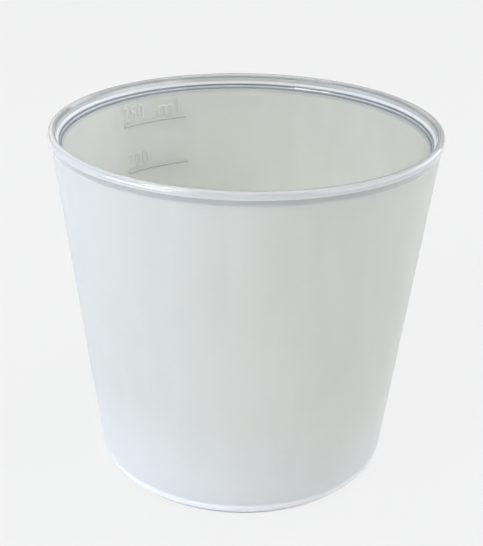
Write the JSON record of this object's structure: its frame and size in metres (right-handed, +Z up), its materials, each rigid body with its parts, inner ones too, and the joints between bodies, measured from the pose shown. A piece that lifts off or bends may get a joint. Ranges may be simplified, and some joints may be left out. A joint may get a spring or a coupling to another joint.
{
  "type": "measuring cup",
  "caption": "Tapered round measuring cup of translucent frosted plastic, with a beaded rim, a lid seat, a low foot ring and raised volume lines inside.",
  "frame": {"origin": "centre of the foot ring's flat underside, on the surface that the cup stands on", "axes": "+Z up along the cup's axis of revolution; the raised volume lines are centred at 126 degrees from +X towards +Y, at the back left when seen along +Y"},
  "size_m": [0.0842, 0.0842, 0.0784],
  "materials": {
    "cup": "frosted translucent polypropylene, fine moulded texture",
    "rim": "the same polypropylene, polished in the mould",
    "scale": "the same polypropylene, in low relief"
  },
  "bodies": {
    "root": {"foot_ring": "cup", "cup_base": "cup", "cup_wall": "cup", "rim": "rim", "graduation_50": "scale", "graduation_100": "scale", "graduation_150": "scale", "graduation_200": "scale", "graduation_250": "scale"}
  },
  "joints": []
}
